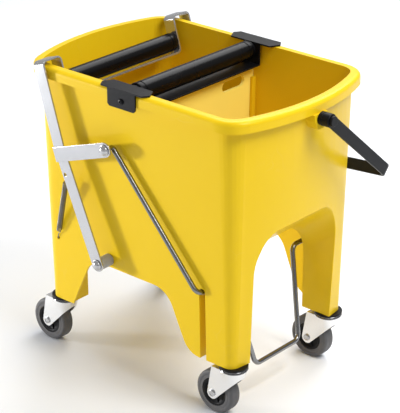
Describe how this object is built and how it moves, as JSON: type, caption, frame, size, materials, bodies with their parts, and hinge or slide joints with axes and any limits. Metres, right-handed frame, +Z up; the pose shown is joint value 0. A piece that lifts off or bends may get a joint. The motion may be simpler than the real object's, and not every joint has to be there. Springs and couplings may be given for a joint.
{
  "type": "double mop bucket trolley",
  "caption": "Moulded two-compartment mop tub on legs and swivel casters, with a pedal-worked roller wringer over the rim, a divider panel and a swinging bail.",
  "frame": {"origin": "on the floor, under the middle of the tub", "axes": "+X along the tub towards the pedal end, +Y across it to the side where the bail hangs, +Z up"},
  "size_m": [0.5962, 0.4033, 0.5688],
  "materials": {
    "yellow_plastic": "satin moulded polypropylene",
    "black_steel": "black powder coat",
    "roller_rubber": "smooth black rubber-covered tube",
    "black_plastic": "black moulded plastic",
    "grey_plastic": "grey moulded plastic",
    "zinc_steel": "bright zinc plate",
    "tyre_grey": "non-marking grey rubber"
  },
  "bodies": {
    "tub": {"tub_body": "yellow_plastic", "divider_panel": "yellow_plastic", "fixed_frame": "black_steel", "frame_screws": "black_steel", "fixed_axle": "zinc_steel", "fixed_axle_nuts": "zinc_steel", "pivot_pins": "zinc_steel", "pivot_spacers": "grey_plastic", "pivot_caps": "zinc_steel", "pivot_nuts": "zinc_steel", "return_spring_near": "zinc_steel", "return_spring_far": "zinc_steel", "bail_pins": "black_plastic", "leg_insert_back_near": "black_plastic", "leg_insert_back_far": "black_plastic", "leg_insert_front_near": "black_plastic", "leg_insert_front_far": "black_plastic", "swivel_race_back_near": "zinc_steel", "swivel_race_back_far": "zinc_steel", "swivel_race_front_near": "zinc_steel", "swivel_race_front_far": "zinc_steel"},
    "fixed_roller": {"fixed_roller": "roller_rubber", "fixed_bushes": "black_plastic"},
    "yoke": {"yoke_strip": "zinc_steel", "link_near": "zinc_steel", "link_far": "zinc_steel", "moving_axle": "zinc_steel", "moving_axle_nuts": "zinc_steel"},
    "moving_roller": {"moving_roller": "roller_rubber", "moving_bushes": "black_plastic"},
    "pedal": {"pedal_stirrup": "zinc_steel", "pedal_caps": "zinc_steel"},
    "bail": {"bail_handle": "black_plastic"},
    "caster_back_near": {"fork_back_near": "zinc_steel", "axle_bolt_back_near": "zinc_steel"},
    "wheel_back_near": {"hub_back_near": "black_plastic", "tyre_back_near": "tyre_grey"},
    "caster_back_far": {"fork_back_far": "zinc_steel", "axle_bolt_back_far": "zinc_steel"},
    "wheel_back_far": {"hub_back_far": "black_plastic", "tyre_back_far": "tyre_grey"},
    "caster_front_near": {"fork_front_near": "zinc_steel", "axle_bolt_front_near": "zinc_steel"},
    "wheel_front_near": {"hub_front_near": "black_plastic", "tyre_front_near": "tyre_grey"},
    "caster_front_far": {"fork_front_far": "zinc_steel", "axle_bolt_front_far": "zinc_steel"},
    "wheel_front_far": {"hub_front_far": "black_plastic", "tyre_front_far": "tyre_grey"}
  },
  "joints": [
    {"name": "yoke_hinge", "type": "hinge", "parent": "tub", "child": "yoke", "pos_m": [-0.063, 0, 0.223], "axis": [0, 1, 0], "range_deg": [0, 15], "stiffness_Nm_per_rad": 12, "springref_deg": -28.65, "deforming": ["return_spring_near", "return_spring_far"]},
    {"name": "pedal_hinge", "type": "hinge", "parent": "yoke", "child": "pedal", "pos_m": [-0.03575, 0, 0.44619], "axis": [0, 1, 0], "range_deg": [-1.6, 0]},
    {"name": "moving_roller_spin", "type": "hinge", "parent": "yoke", "child": "moving_roller", "pos_m": [-0.17897, 0, 0.52047], "axis": [0, 1, 0], "continuous": true},
    {"name": "fixed_roller_spin", "type": "hinge", "parent": "tub", "child": "fixed_roller", "pos_m": [-0.004, 0, 0.543], "axis": [0, 1, 0], "continuous": true},
    {"name": "bail_hinge", "type": "hinge", "parent": "tub", "child": "bail", "pos_m": [0, 0, 0.527], "axis": [1, 0, 0], "range_deg": [0, 260]},
    {"name": "swivel_back_near", "type": "hinge", "parent": "tub", "child": "caster_back_near", "pos_m": [-0.201, -0.1315, 0.102], "axis": [0, 0, 1], "continuous": true},
    {"name": "wheel_back_near_spin", "type": "hinge", "parent": "caster_back_near", "child": "wheel_back_near", "pos_m": [-0.235, -0.1315, 0.04], "axis": [0, 1, 0], "continuous": true},
    {"name": "swivel_back_far", "type": "hinge", "parent": "tub", "child": "caster_back_far", "pos_m": [-0.201, 0.1315, 0.102], "axis": [0, 0, 1], "continuous": true},
    {"name": "wheel_back_far_spin", "type": "hinge", "parent": "caster_back_far", "child": "wheel_back_far", "pos_m": [-0.218, 0.16094, 0.04], "axis": [0.866, 0.5, 0], "continuous": true},
    {"name": "swivel_front_near", "type": "hinge", "parent": "tub", "child": "caster_front_near", "pos_m": [0.201, -0.1315, 0.102], "axis": [0, 0, 1], "continuous": true},
    {"name": "wheel_front_near_spin", "type": "hinge", "parent": "caster_front_near", "child": "wheel_front_near", "pos_m": [0.167, -0.1315, 0.04], "axis": [0, 1, 0], "continuous": true},
    {"name": "swivel_front_far", "type": "hinge", "parent": "tub", "child": "caster_front_far", "pos_m": [0.201, 0.1315, 0.102], "axis": [0, 0, 1], "continuous": true},
    {"name": "wheel_front_far_spin", "type": "hinge", "parent": "caster_front_far", "child": "wheel_front_far", "pos_m": [0.167, 0.1315, 0.04], "axis": [0, 1, 0], "continuous": true}
  ],
  "couplings": [
    {"joint": "pedal_hinge", "follows": "yoke_hinge", "ratio": -0.0818}
  ]
}
